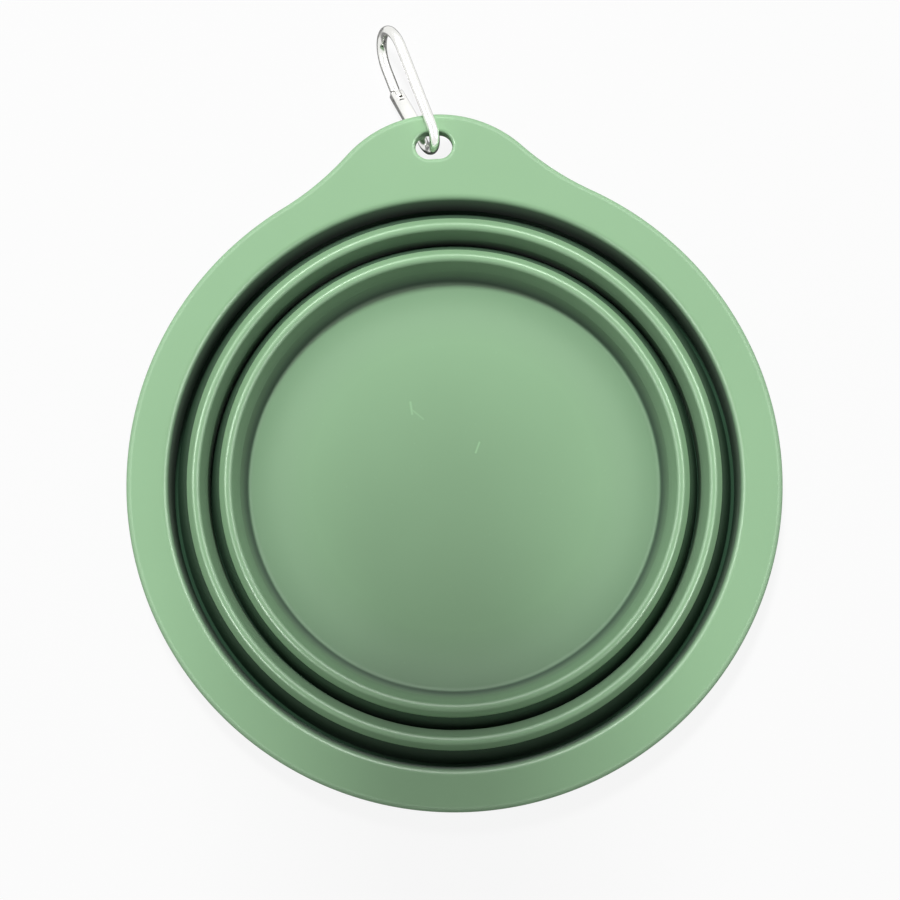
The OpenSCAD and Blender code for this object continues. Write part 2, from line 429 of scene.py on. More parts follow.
@dataclass
class Shell:
    """Points in millimetres, and arrays of faces that index them."""

    points: np.ndarray
    faces: list[np.ndarray]

    @staticmethod
    def joined(shells: Sequence[Shell]) -> Shell:
        """Puts several shells into one, each still closed by itself.

        Args:
            shells: the shells.

        Returns:
            One shell.
        """
        first = np.cumsum([0] + [len(shell.points) for shell in shells[:-1]])
        faces = [face + start for shell, start in zip(shells, first) for face in shell.faces]
        return Shell(np.concatenate([shell.points for shell in shells]), faces)

    def placed(self, axes: np.ndarray, origin: np.ndarray) -> Shell:
        """The shell carried from its own axes, given as rows, to a place in the frame."""
        return Shell(self.points @ axes + origin, self.faces)

    def build(self, name: str) -> bpy.types.Object:
        """Makes the object, smooth but for its sharp edges.

        Args:
            name: the piece's name.

        Returns:
            The object, at the origin.
        """
        mesh = bpy.data.meshes.new(name)
        rows = [row for face in self.faces for row in face.tolist()]
        mesh.from_pydata((self.points * MM).tolist(), [], rows)
        loose = bmesh.new()
        loose.from_mesh(mesh)
        bmesh.ops.recalc_face_normals(loose, faces=loose.faces)
        loose.to_mesh(mesh)
        loose.free()
        mesh.polygons.foreach_set("use_smooth", np.ones(len(mesh.polygons), bool))
        mesh.set_sharp_from_angle(angle=math.radians(SHARP_ANGLE))
        made = bpy.data.objects.new(name, mesh)
        bpy.context.scene.collection.objects.link(made)
        return made


def skin(points: np.ndarray, ends: Ends) -> Shell:
    """Covers a grid of rings with faces.

    Each face joins two neighbouring points of one ring to the same two of the next. The sides
    always close. The rings close on themselves, or each end is a fan round its middle point.

    Args:
        points: an array of rings, sides and 3 coordinates.
        ends: how the rings end.

    Returns:
        The closed shell.
    """
    rings, sides, _ = points.shape
    index = np.arange(rings * sides).reshape(rings, sides)
    after = np.roll(index, -1, axis=1)
    grid = np.stack([index, after, np.roll(after, -1, axis=0), np.roll(index, -1, axis=0)], axis=-1)
    flat = points.reshape(-1, 3)
    if ends is Ends.JOINED:
        return Shell(flat, [grid.reshape(-1, 4)])
    middles = points[[0, -1]].mean(axis=1)
    first, last = rings * sides, rings * sides + 1
    fans = [np.stack([index[row], after[row], np.full(sides, pole)], axis=-1)
            for row, pole in ((0, first), (-1, last))]
    return Shell(np.concatenate([flat, middles]), [grid[:-1].reshape(-1, 4), *fans])


def softened(corners: np.ndarray, reach: np.ndarray, steps: int = 5, closed: bool = True,
             wider: float = 1.3) -> np.ndarray:
    """Rounds the corners of an outline.

    A corner gives way to a parabolic arc that leaves each of its sides at its reach, with one
    more point a little further out on each side, so that flat faces keep flat normals.

    Args:
        corners: an array of points with 2 coordinates.
        reach: how far from each corner its arc starts, 0 for a corner that stays.
        steps: points on each arc.
        closed: whether the outline closes on itself; if not, its two ends stay.
        wider: where the points beside an arc lie, as a multiple of its reach.

    Returns:
        The rounded outline.
    """
    back = corners - np.roll(corners, 1, axis=0)
    on = np.roll(corners, -1, axis=0) - corners
    back = back / np.linalg.norm(back, axis=1, keepdims=True)
    on = on / np.linalg.norm(on, axis=1, keepdims=True)
    far = reach[:, None].copy()
    if not closed:
        far[[0, -1]] = 0.0
    share = np.linspace(0, 1, steps)[None, :, None]
    start, end = (corners - back * far)[:, None], (corners + on * far)[:, None]
    middle = corners[:, None]
    arcs = (1 - share) ** 2 * start + 2 * share * (1 - share) * middle + share**2 * end
    rows = np.concatenate([(corners - back * far * wider)[:, None], arcs,
                           (corners + on * far * wider)[:, None]], axis=1).reshape(-1, 2)
    gap = np.linalg.norm(rows - np.roll(rows, 1, axis=0), axis=1)
    keep = gap > SAME
    if not closed:
        keep[0] = True
    return rows[keep]


def at_level(flat: np.ndarray, z: float) -> np.ndarray:
    """Points with 2 coordinates, put at one level."""
    return np.column_stack([flat, np.full(len(flat), z)])


def turned(profile: np.ndarray, columns: int) -> np.ndarray:
    """Turns an outline of radii and heights about the bowl's axis.

    Args:
        profile: an array of radii and heights.
        columns: how many copies stand round the axis.

    Returns:
        An array of copies, points of the outline and 3 coordinates.
    """
    turn = np.linspace(0, 2 * np.pi, columns, endpoint=False)[:, None]
    return np.stack([np.cos(turn) * profile[:, 0], np.sin(turn) * profile[:, 0],
                     np.broadcast_to(profile[:, 1], (columns, len(profile)))], axis=-1)


@dataclass
class BowlRings:
    """The cup, the middle band and the two thin folds between them and the rim.

    Sizes are in millimetres. Radii and levels come from the frame's boxes.
    """

    # Walls and floor.
    wall_t: float = 2.2
    wall_lean: float = 0.4
    floor_t: float = 2.4
    floor_inset: float = 1.55
    axis_r: float = 6.0
    floor_rings: tuple[float, ...] = (1.0, 0.7, 0.3)
    columns: int = 288
    # The section of a crest, with its slopes in degrees.
    crest_w: float = 5.5
    crest_under: float = 2.4
    ridge_share: float = 0.56
    crease_share: float = 0.3
    band_slope: float = 68.0
    bead_slope: float = 72.0
    roll_r: float = 1.3
    flank_slope: float = 50.0
    # The folds and the ground beside their feet.
    web_t: float = 1.1
    web_foot_t: float = 1.3
    lower_groove_w: float = 0.15
    upper_groove_w: float = 0.9
    fold_bow: float = 0.18
    fold_edges: tuple[float, ...] = (0.3, 0.1, 0.35, 0.6)
    fold_steps: int = 20
    # How far edges are rounded.
    edge: float = 0.3
    flank_edge: float = 0.12
    web_edge: float = 0.05
    under_edge: float = 0.5
    foot_r: float = 1.2
    floor_fillet: float = 1.2
    # The painted shade, written into the depth attribute, and the rubbed attribute.
    corner_reach: float = 4.3
    corner_shade: float = 0.47
    crest_shade: float = 0.3
    fold_shade: tuple[float, float] = (0.76, 0.95)
    rubbed_gain: float = 4.0
    # Read from the frame.
    lower_crest_r: float = field(init=False)
    upper_crest_r: float = field(init=False)
    mouth_r: float = field(init=False)
    crest_z: float = field(init=False)
    foot_z: float = field(init=False)

    def __post_init__(self) -> None:
        """Reads the radii and levels from the frame."""
        self.lower_crest_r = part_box("base_cup")[1][0] / MM
        self.upper_crest_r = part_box("middle_ring")[1][0] / MM
        self.mouth_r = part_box("upper_web")[1][0] / MM - self.wall_t + self.wall_lean
        self.crest_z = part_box("base_cup")[1][2] / MM
        self.foot_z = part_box("middle_ring")[0][2] / MM

    @property
    def web_top_z(self) -> float:
        """Level at which the folds leave the crests."""
        return self.crest_z - self.crest_under

    @property
    def cup_wall_r(self) -> float:
        """Radius of the cup's wall, inside, below the lower crest."""
        return self.lower_crest_r - self.crest_w

    @property
    def floor_r(self) -> float:
        """Radius of the flat floor."""
        return self.cup_wall_r - self.floor_inset

    @property
    def band_wall_r(self) -> float:
        """Radius of the middle band's wall, inside."""
        return self.upper_crest_r - self.crest_w

    @property
    def rim_wall_r(self) -> float:
        """Radius of the rim's wall, inside, at its foot."""
        return self.mouth_r - self.wall_lean

    def crest(self, inner: float) -> np.ndarray:
        """The top of a crest, from its inner edge to its outer edge.

        A steep flat band climbs from the inner edge to a crease. From there an arc of a circle
        rises to the ridge, a tighter arc rolls over outwards, and a straight flank falls from it
        to the outer edge.

        Args:
            inner: radius of the inner edge.

        Returns:
            An array of radii and heights.
        """
        ridge = inner + self.ridge_share * self.crest_w
        crease = inner + self.crease_share * self.crest_w
        inside = np.radians(np.linspace(-self.bead_slope, 0, 9))
        bead_r = (ridge - crease) / math.sin(math.radians(self.bead_slope))
        outside = np.radians(np.linspace(0, self.flank_slope, 8))[1:]
        rise = np.concatenate([bead_r * (1 - np.cos(inside)), self.roll_r * (1 - np.cos(outside))])
        radius = ridge + np.concatenate([bead_r * np.sin(inside), self.roll_r * np.sin(outside)])
        top = np.stack([radius, self.crest_z - rise], axis=-1)
        band = (crease - inner) * math.tan(math.radians(self.band_slope))
        flank_w = inner + self.crest_w - radius[-1]
        flank = flank_w * math.tan(math.radians(self.flank_slope))
        low = np.array([[inner, top[0, 1] - band], [(inner + crease) / 2, top[0, 1] - band / 2]])
        out = np.array([[radius[-1] + flank_w / 2, top[-1, 1] - flank / 2],
                        [inner + self.crest_w, top[-1, 1] - flank]])
        return np.concatenate([low, top, out])

    def crest_reach(self, top: np.ndarray) -> np.ndarray:
        """How far each corner of a crest is rounded: only its two edges are."""
        reach = np.zeros(len(top))
        reach[[0, -1]] = self.edge, self.flank_edge
        return reach

    def band(self) -> Shell:
        """The middle band: a crest with the stiff wall that hangs from its inner edge.

        Returns:
            The outline of crest, wall and foot, turned about the axis.
        """
        wall_r = self.band_wall_r
        top = self.crest(wall_r)
        foot = np.array([[wall_r, self.foot_z]])
        under = np.array([[self.upper_crest_r, self.web_top_z],
                          [wall_r + self.wall_t + self.wall_lean, self.web_top_z],
                          [wall_r + self.wall_t, self.foot_z]])
        reach = np.concatenate([[self.edge], self.crest_reach(top),
                                [self.web_edge, self.under_edge, self.edge]])
        outline = softened(np.concatenate([foot, top, under]), reach)
        return skin(turned(outline, self.columns), Ends.JOINED)

    def cup(self) -> Shell:
        """The floor and inner wall in one, up to the lower crest.

        Returns:
            The outline from the middle of the underside, round the foot, the wall and the crest,
            to the middle of the floor, turned about the axis and closed at both middles.
        """
        wall_r, floor_r = self.cup_wall_r, self.floor_r
        top = self.crest(wall_r)[::-1]
        under = np.array([[self.axis_r, 0.0], [floor_r + self.wall_t, 0.0],
                          [wall_r + self.wall_t + self.wall_lean, self.web_top_z],
                          [self.lower_crest_r, self.web_top_z]])
        floor = np.array([[share * floor_r, self.floor_t] for share in self.floor_rings]
                         + [[self.axis_r, self.floor_t]])
        reach = np.concatenate([[0, self.foot_r, self.under_edge, self.web_edge],
                                self.crest_reach(top), [self.floor_fillet, 0, 0, 0]])
        outline = softened(np.concatenate([under, top, floor]), reach, steps=7, closed=False)
        return skin(turned(outline, self.columns).transpose(1, 0, 2), Ends.CAPPED)

    def fold(self, crest_r: float, wall_r: float, groove_w: float) -> Shell:
        """A thin fold, from under a crest's outer edge down to the foot of the next wall out.

        Both its faces are straight lines between crest and valley, bowed by a sine so that the
        fold leaves the crest steeply, and its foot turns out under the wall.

        Args:
            crest_r: radius of the crest's outer edge.
            wall_r: radius of the next wall's inner face at its foot.
            groove_w: width of the flat ground between the fold and that wall.

        Returns:
            The outline turned about the axis.
        """
        low = wall_r - groove_w
        under_z = self.foot_z - self.web_foot_t
        down = np.linspace(0, 1, self.fold_steps)[:, None]
        crest, valley = np.array([[crest_r, self.web_top_z]]), np.array([[low, self.foot_z]])
        face = crest * (1 - down) + valley * down
        face[:, 0] += self.fold_bow * np.sin(np.pi * down[:, 0])
        inside = face[::-1] - [self.web_t, 0.0]
        foot = np.array([[wall_r + self.wall_t, self.foot_z], [wall_r + self.wall_t, under_z],
                         [low - self.web_t, under_z]])
        corners = np.concatenate([face, foot, inside])
        reach = np.zeros(len(corners))
        last = self.fold_steps - 1
        reach[last:last + len(self.fold_edges)] = self.fold_edges
        return skin(turned(softened(corners, reach), self.columns), Ends.JOINED)

    def paint_shade(self, piece: bpy.types.Object, high: float | None = None, power: float = 1.0,
               least: tuple[float, float] | None = None,
               near_wall: tuple[float, float, float] | None = None,
               rubbed_r: float | None = None) -> None:
        """Writes painted shade into the depth attribute at each corner of a piece's faces, from 0 to 1.

        The painted shade is a power of how squarely the corner faces the bowl's axis, times a share
        that grows to 1 from the crests down to the foot of the folds, darkening where shade falls. A
        fold has at least an amount for its level on its upper face, and none on the face that only
        shows when the bowl is open. Near a wall it is at least an amount that falls off with the
        distance from it: painted shade in the corner.

        Args:
            piece: the piece.
            high: the share at the level of the crests, or None for the usual one.
            power: the power.
            least: for a fold, the least painted shade at the level of the crests and at its foot.
            near_wall: the wall's radius, the distance over which the painted shade falls, and its amount.
            rubbed_r: radius past which an edge that faces out is written down as rubbed, if any.
        """
        share = self.crest_shade if high is None else high
        mesh = piece.data
        normal = np.empty(len(mesh.loops) * 3, np.float32)
        spot = np.empty(len(mesh.vertices) * 3, np.float32)
        vertex = np.empty(len(mesh.loops), np.int32)
        mesh.corner_normals.foreach_get("vector", normal)
        mesh.vertices.foreach_get("co", spot)
        mesh.loops.foreach_get("vertex_index", vertex)
        normal, place = normal.reshape(-1, 3), spot.reshape(-1, 3)[vertex] / MM
        radius = np.maximum(np.linalg.norm(place[:, :2], axis=1), self.edge)
        facing = -(normal[:, :2] * place[:, :2]).sum(axis=1) / radius
        low = np.clip((self.web_top_z - place[:, 2]) / (self.web_top_z - self.foot_z), 0, 1)
        # Painted shade, from how squarely the corner faces the axis and how low it lies.
        depth = np.clip(facing, 0, 1) ** power * (share + (1 - share) * low)
        if least is not None:
            depth = np.maximum(depth, least[0] + (least[1] - least[0]) * low) * (normal[:, 2] > 0)
        if near_wall is not None:
            wall_r, reach, amount = near_wall
            corner = amount * np.exp(-np.abs(wall_r - radius) / reach)
            depth = np.where(radius < wall_r + self.edge, np.maximum(depth, corner), depth)
        made = mesh.attributes.new(PAINTED_SHADE, "FLOAT", "CORNER")
        made.data.foreach_set("value", depth.astype(np.float32))
        if rubbed_r is not None:
            edge = np.clip(-self.rubbed_gain * facing, 0, 1) * (radius > rubbed_r)
            made = mesh.attributes.new(RUBBED, "FLOAT", "CORNER")
            made.data.foreach_set("value", edge.astype(np.float32))

    def build(self, silicone: bpy.types.Material, web: bpy.types.Material) -> None:
        """Makes and places the four pieces.

        Args:
            silicone: finish of the stiff pieces.
            web: finish of the thin folds.
        """
        cup = self.cup().build("inner_cup")
        # Painted shade on inward faces, and in the floor's corner by the wall.
        self.paint_shade(cup, near_wall=(self.floor_r, self.corner_reach, self.corner_shade))
        dress(cup, silicone, "base", "base_cup")
        band = self.band().build("middle_band")
        # Painted shade on the band's inward faces.
        self.paint_shade(band)
        dress(band, silicone, "middle", "middle_ring")
        lower = self.fold(self.lower_crest_r, self.band_wall_r, self.lower_groove_w)
        upper = self.fold(self.upper_crest_r, self.rim_wall_r, self.upper_groove_w)
        for name, shell, pair, node in (("lower_fold", lower, ("base", "middle"), "lower_web"),
                                        ("upper_fold", upper, ("middle", "rim"), "upper_web")):
            piece = shell.build(name)
            # Painted shade on each fold's upper face.
            self.paint_shade(piece, least=self.fold_shade)
            dress(piece, web, None, node)
            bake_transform(piece)


@dataclass
class RimAndTab:
    """The flat rim with its lip, its inner wall, the hang tab and the tab's slot.

    Sizes are in millimetres. The rim's radius, the tab's reach and the levels come from the frame,
    and the wall's place and thickness from the rings whose upper fold it closes.
    """

    rings: BowlRings
    # The flat rim, its lip and its edges.
    flange_t: float = 5.0
    edge_r: float = 1.5
    edge_steps: int = 11
    lip_w: float = 1.8
    lip_drop: float = 1.8
    lip_steps: int = 13
    corner: float = 0.3
    corner_rise: float = 0.4
    # The tab, its columns by angle in degrees, and its slot.
    tip_r: float = 34.5
    fillet_r: float = 80.0
    tab_turn: float = 36.0
    tab_columns: int = 91
    round_columns: int = 145
    slot_l: float = 10.4
    slot_w: float = 7.5
    slot_band: float = 5.4
    slot_edge: float = 1.0
    slot_steps: int = 7
    # The windows round the slot, and the rows across the flat top as shares of its width.
    window: float = 6.0
    window_columns: int = 33
    window_rows: int = 15
    window_span: tuple[float, float] = (0.22, 0.955)
    lip_rows: tuple[float, ...] = (0.03, 0.12)
    edge_rows: tuple[float, ...] = (0.985,)
    slot_spread: float = 1.35
    spread_shares: tuple[float, ...] = (0.35, 0.7, 1.0)
    # The painted shade on the lip and the inner wall, in the depth attribute.
    wall_shade: float = 0.7
    wall_shade_power: float = 3.0
    # Read from the frame.
    rim_r: float = field(init=False)
    reach: float = field(init=False)
    top_z: float = field(init=False)
    foot_z: float = field(init=False)

    def __post_init__(self) -> None:
        """Reads the radius, the reach and the levels from the frame."""
        low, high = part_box("rim_flange")
        self.rim_r = high[0] / MM
        self.reach = high[1] / MM
        self.top_z = high[2] / MM
        self.foot_z = low[2] / MM

    @property
    def under_z(self) -> float:
        """Level of the rim's underside."""
        return self.top_z - self.flange_t

    @property
    def slot_y(self) -> float:
        """How far out the slot's centre lies."""
        return self.reach - self.slot_band - self.slot_w / 2

    def outline(self, turn: np.ndarray) -> tuple[np.ndarray, np.ndarray]:
        """The edge of the rim and tab, and its outward normal, for angles from the tab's middle.

        Near the middle a ray from the centre meets the tip's circle on its far side, then it
        meets the hollow fillet's circle on its near side, and beyond the line from the centre
        to the fillet's centre it meets the rim's own circle.

        Args:
            turn: the angles, in radians.

        Returns:
            Two arrays of points with 2 coordinates.
        """
        tip_y = self.reach - self.tip_r
        far, near = self.rim_r + self.fillet_r, self.tip_r + self.fillet_r
        fillet_y = (far**2 - near**2 + tip_y**2) / (2 * tip_y)
        fillet_x = math.sqrt(far**2 - fillet_y**2)
        fillet_turn = math.atan2(fillet_x, fillet_y)
        tangent = np.array([fillet_x, fillet_y - tip_y]) * self.tip_r / near + [0.0, tip_y]
        tip_turn = math.atan2(tangent[0], tangent[1])
        side, size = np.where(turn < 0, -1.0, 1.0), np.abs(turn)
        tip = tip_y * np.cos(size) + np.sqrt(np.maximum(self.tip_r**2 - (tip_y * np.sin(size)) ** 2, 0))
        off = size - fillet_turn
        hollow = far * np.cos(off) - np.sqrt(np.maximum(self.fillet_r**2 - (far * np.sin(off)) ** 2, 0))
        reach = np.where(size < tip_turn, tip, np.where(size < fillet_turn, hollow, self.rim_r))
        spot = np.stack([reach * np.sin(turn), reach * np.cos(turn)], axis=-1)
        fillet = np.stack([side * fillet_x, np.full(len(turn), fillet_y)], axis=-1)
        away = np.where((size < tip_turn)[:, None], spot - [0.0, tip_y],
                        np.where((size < fillet_turn)[:, None], fillet - spot, spot))
        return spot, away / np.linalg.norm(away, axis=1, keepdims=True)

    def angles(self) -> np.ndarray:
        """Angles of the columns, close together across the slot and the tab, in radians."""
        slot = np.linspace(-self.window, self.window, self.window_columns)
        side = np.concatenate([np.linspace(self.window, self.tab_turn, self.tab_columns)[1:],
                               np.linspace(self.tab_turn, 180.0, self.round_columns)[1:]])
        return np.radians(np.concatenate([-side[::-1][1:], slot, side]))

    def slot_ring(self, turn: np.ndarray, grown: float) -> np.ndarray:
        """Points of the slot's outline, let out by a step, at angles about its centre.

        A ray meets one of the two straight sides, or else the round end on its side.

        Args:
            turn: the angles, in radians.
            grown: how far the outline is let out.

        Returns:
            An array of points with 2 coordinates.
        """
        half, radius = (self.slot_l - self.slot_w) / 2, self.slot_w / 2 + grown
        across, up = np.cos(turn), np.sin(turn)
        side = radius / np.maximum(np.abs(up), TINY)
        along = half * np.abs(across)
        end = along + np.sqrt(np.maximum(radius**2 - (half * up) ** 2, 0))
        size = np.where(side * np.abs(across) <= half, side, end)
        return np.stack([size * across, self.slot_y + size * up], axis=-1)

    def shell(self) -> Shell:
        """The whole rim: one section carried round the bowl, with the slot let into the tab.

        The section climbs the inner wall, rolls over the lip by a quarter of an ellipse, crosses
        the flat top to the edge, rounds the edge by a quarter circle above and below, and returns
        underneath to the wall. A window of faces is left out above and below the slot. Rings of
        points join each window's border to the slot's rounded edge, and run down its wall.

        Returns:
            The closed shell.
        """
        turn = self.angles()
        edge, away = self.outline(turn)
        spoke = np.stack([np.sin(turn), np.cos(turn)], axis=-1)
        under_z = self.under_z
        quarter = np.linspace(0, np.pi / 2, self.edge_steps)
        mouth_r, wall_r, wall_t = self.rings.mouth_r, self.rings.rim_wall_r, self.rings.wall_t

        def ring(radius: float, z: float) -> np.ndarray:
            """A circle round the bowl's axis."""
            return at_level(spoke * radius, z)

        def inset(step: float, z: float) -> np.ndarray:
            """The rim's edge drawn in by a step."""
            return at_level(edge - away * step, z)

        lip_in = mouth_r + self.lip_w
        wall = [ring(wall_r, self.foot_z + self.corner),
                ring(mouth_r, self.top_z - self.lip_drop - self.corner_rise)]
        lip = [ring(lip_in - self.lip_w * math.cos(a), self.top_z - self.lip_drop * (1 - math.sin(a)))
               for a in np.linspace(0, np.pi / 2, self.lip_steps)]
        share = np.concatenate([self.lip_rows, np.linspace(*self.window_span, self.window_rows),
                                self.edge_rows])
        inner_top, outer_top = ring(lip_in, self.top_z), inset(self.edge_r, self.top_z)
        top = [inner_top * (1 - k) + outer_top * k for k in share]
        over = [inset(self.edge_r * (1 - math.sin(a)), self.top_z - self.edge_r * (1 - math.cos(a)))
                for a in quarter]
        below = [inset(self.edge_r * (1 - math.sin(a)), under_z + self.edge_r * (1 - math.cos(a)))
                 for a in quarter[::-1]]
        bottom = [row * [1, 1, 0] + [0, 0, under_z] for row in top[::-1]]
        back = [ring(mouth_r + wall_t + self.corner, under_z),
                ring(mouth_r + wall_t, under_z - self.corner),
                ring(wall_r + wall_t, self.foot_z + self.corner_rise),
                ring(wall_r + wall_t - self.corner, self.foot_z),
                ring(wall_r + self.corner, self.foot_z)]
        rows = wall + lip + top + over + below + bottom + back
        grid = np.stack(rows, axis=1)
        base = skin(grid, Ends.JOINED)
        count = grid.shape[1]
        faces = base.faces[0].reshape(len(turn), count, 4)
        columns = np.flatnonzero(np.abs(turn) <= math.radians(self.window) + TINY)
        first_top = len(wall) + len(lip) + len(self.lip_rows)
        last_top = first_top + self.window_rows - 1
        first_low = len(wall + lip + top + over + below) + len(self.edge_rows)
        last_low = first_low + self.window_rows - 1
        kept = np.ones(faces.shape[:2], bool)
        kept[columns[0]:columns[-1], first_top:last_top] = False
        kept[columns[0]:columns[-1], first_low:last_low] = False
        patch, patch_faces = self.slot_patch(grid, columns, first_top, last_low)
        return Shell(np.concatenate([base.points, patch]), [faces[kept], patch_faces])

    def slot_patch(self, grid: np.ndarray, columns: np.ndarray, first_top: int,
                   last_low: int) -> tuple[np.ndarray, np.ndarray]:
        """The rings between the two windows' borders, round the slot's edges and wall.

        Args:
            grid: the rim's points by column and row.
            columns: the window's columns.
            first_top: the window's innermost row on the top face.
            last_low: the window's innermost row on the underside.

        Returns:
            The new points, and faces that index the grid's points and then the new ones.
        """
        across, steps = columns[-1] - columns[0], self.window_rows - 1
        column = np.concatenate([np.arange(across), np.full(steps, across),
                                 np.arange(across, 0, -1), np.zeros(steps, int)]) + columns[0]
        step = np.concatenate([np.zeros(across, int), np.arange(steps),
                               np.full(across, steps), np.arange(steps, 0, -1)])
        count = grid.shape[1]
        top_index = column * count + first_top + step
        low_index = column * count + last_low - step
        border = grid.reshape(-1, 3)[top_index]
        turn = np.arctan2(border[:, 1] - self.slot_y, border[:, 0])
        quarter = np.linspace(0, np.pi / 2, self.slot_steps)
        near = self.slot_ring(turn, self.slot_edge * self.slot_spread)
        spread = [border[:, :2] * (1 - k) + near * k for k in self.spread_shares]
        rounding = [(self.slot_edge * (1 - math.sin(a)), self.slot_edge * (1 - math.cos(a)))
                    for a in quarter]
        above = [at_level(flat, self.top_z) for flat in spread]
        above += [at_level(self.slot_ring(turn, out), self.top_z - down) for out, down in rounding]
        low = [row * [1, 1, -1] + [0, 0, self.top_z + self.under_z] for row in above[::-1]]
        rings = np.stack(above + low)
        size = len(column)
        new_index = len(grid) * count + np.arange(rings.shape[0] * size).reshape(-1, size)
        index = np.concatenate([top_index[None], new_index, low_index[None]])
        after = np.roll(index, -1, axis=1)
        faces = np.stack([index[:-1], after[:-1], after[1:], index[1:]], axis=-1).reshape(-1, 4)
        return rings.reshape(-1, 3), faces

    def build(self, silicone: bpy.types.Material) -> None:
        """Makes and places the piece.

        Args:
            silicone: its finish.
        """
        piece = self.shell().build("rim_and_tab")
        # Painted shade on the lip and the inner wall, which face the axis.
        self.rings.paint_shade(piece, high=self.wall_shade, power=self.wall_shade_power,
                          rubbed_r=self.rings.mouth_r + self.lip_w)
        dress(piece, silicone, "rim", "rim_flange")


@dataclass
class SnapHook:
    """The bent wire with its eye and tongue, and the sprung gate that closes it.

    Sizes are in millimetres, in the hook's own plane: s runs from the tab's band to the far
    bend, t runs up, and the third way crosses the plane. The plane's place and turn come from
    the frame's joints and from the mount in the loop of the hook.
    """

    joints: dict[str, dict[str, Any]]
    loop_centre: Sequence[float]
    # The bent wire.
    wire_d: float = 2.9
    end_round: float = 0.3
    near_bend_r: float = 5.15
    far_bend_r: float = 7.8
    bend_back: float = 1.9
    far_s: float = 22.25
    nose_s: float = 15.3
    lug_end: float = -0.25
    # The gate, with its pins.
    gate_w: float = 3.8
    gate_h: float = 2.8
    gate_l: float = 15.59
    gate_round: float = 4.3
    side_gap: float = 0.15
    heel_slot: float = 2.5
    nose_slot: float = 3.65
    heel_start: float = 6.0
    nose_edge: float = 0.35
    nose_in: float = 0.25
    pivot_d: float = 1.3
    latch_d: float = 1.0
    latch_back: float = 2.1
    pin_gap: float = 0.05
    pin_in: float = 0.12
    # The tongue and the eye with its cam.
    tongue_t: float = 1.3
    tongue_trim: float = 0.5
    tongue_l: float = 3.3
    tongue_out: float = 1.6
    notch_step: float = 0.01
    eye_r: float = 1.25
    cam_rise: float = 0.4
    cam_turn: float = 30.0
    # The spring.
    spring_wire: float = 0.25
    spring_coil_r: float = 0.475
    spring_start: float = 4.45
    spring_l: float = 3.2
    spring_turns: int = 4
    spring_end: float = 0.03
    # How finely the pieces are meshed.
    near_steps: int = 40
    leg_steps: int = 30
    far_steps: int = 56
    nose_steps: int = 9
    end_steps: int = 5
    eye_step: float = 5.0
    turn_steps: int = 28
    wire_sides: int = 96
    pin_sides: int = 28
    coil_sides: int = 12
    steep: float = 0.95

    def plane(self) -> tuple[np.ndarray, np.ndarray]:
        """The hook plane's axes as rows, and its origin, in millimetres.

        The line from the swing axis to the loop's centre lies at a known angle to s, so s is
        that line turned back by the angle about the plane's normal.

        Returns:
            The axes and the origin.
        """
        swing = self.joints["hook_swing"]
        origin, normal = np.array(swing["pos_m"]) / MM, np.array(swing["axis"])
        reach = np.array(self.loop_centre) / MM - origin
        reach = reach / np.linalg.norm(reach)
        angle = math.atan2(self.near_bend_r - self.far_bend_r, self.far_s)
        s_axis = math.cos(angle) * reach - math.sin(angle) * np.cross(normal, reach)
        return np.array([s_axis, np.cross(normal, s_axis), normal]), origin

    def gate_plane(self) -> tuple[np.ndarray, np.ndarray]:
        """The gate's axes as rows, along, up and across, and its pivot, in millimetres."""
        normal = np.array(self.joints["gate_hinge"]["axis"])
        along = np.array(self.joints["plunger_slide"]["axis"])
        axes = np.array([along, np.cross(normal, along), normal])
        return axes, np.array(self.joints["gate_hinge"]["pos_m"]) / MM

    def tube(self, path: np.ndarray, radius: float, sides: int, end_round: float) -> Shell:
        """A round wire along a path.

        At each point of the path a circle stands square to it. Each end is drawn in by a small
        quarter circle and closed flat.

        Args:
            path: an array of points with 3 coordinates.
            radius: the wire's radius.
            sides: points round the wire.
            end_round: how far the end's edge is rounded.

        Returns:
            The closed shell.
        """
        quarter = np.linspace(np.pi / 2, 0, self.end_steps + 1)[:-1]
        ahead = np.gradient(path, axis=0)
        ahead = ahead / np.linalg.norm(ahead, axis=1, keepdims=True)
        before = path[0] - ahead[0] * (end_round * np.sin(quarter))[:, None]
        after = (path[-1] + ahead[-1] * (end_round * np.sin(quarter))[:, None])[::-1]
        drawn = radius - end_round * (1 - np.cos(quarter))
        centres = np.concatenate([before, path, after])
        radii = np.concatenate([drawn, np.full(len(path), radius), drawn[::-1]])
        ahead = np.concatenate([np.repeat(ahead[:1], self.end_steps, 0), ahead,
                                np.repeat(ahead[-1:], self.end_steps, 0)])
        side = np.cross(ahead, self.across(ahead))
        side = side / np.linalg.norm(side, axis=1, keepdims=True)
        out = np.cross(side, ahead)
        turn = np.linspace(0, 2 * np.pi, sides, endpoint=False)[None, :, None]
        circle = np.cos(turn) * side[:, None] + np.sin(turn) * out[:, None]
        return skin(centres[:, None] + radii[:, None, None] * circle, Ends.CAPPED)

    def across(self, ahead: np.ndarray) -> np.ndarray:
        """A steady direction that is never along the path: across the plane, or along s."""
        level = np.abs(ahead[:, 2:]) > self.steep
        return np.where(level, [1.0, 0.0, 0.0], [0.0, 0.0, 1.0])

    @staticmethod
    def slab(outline: np.ndarray, thickness: float) -> Shell:
        """A flat plate with a convex outline, in the middle of the hook's plane."""
        half = thickness / 2
        return skin(np.stack([at_level(outline, z) for z in (-half, half)]), Ends.CAPPED)

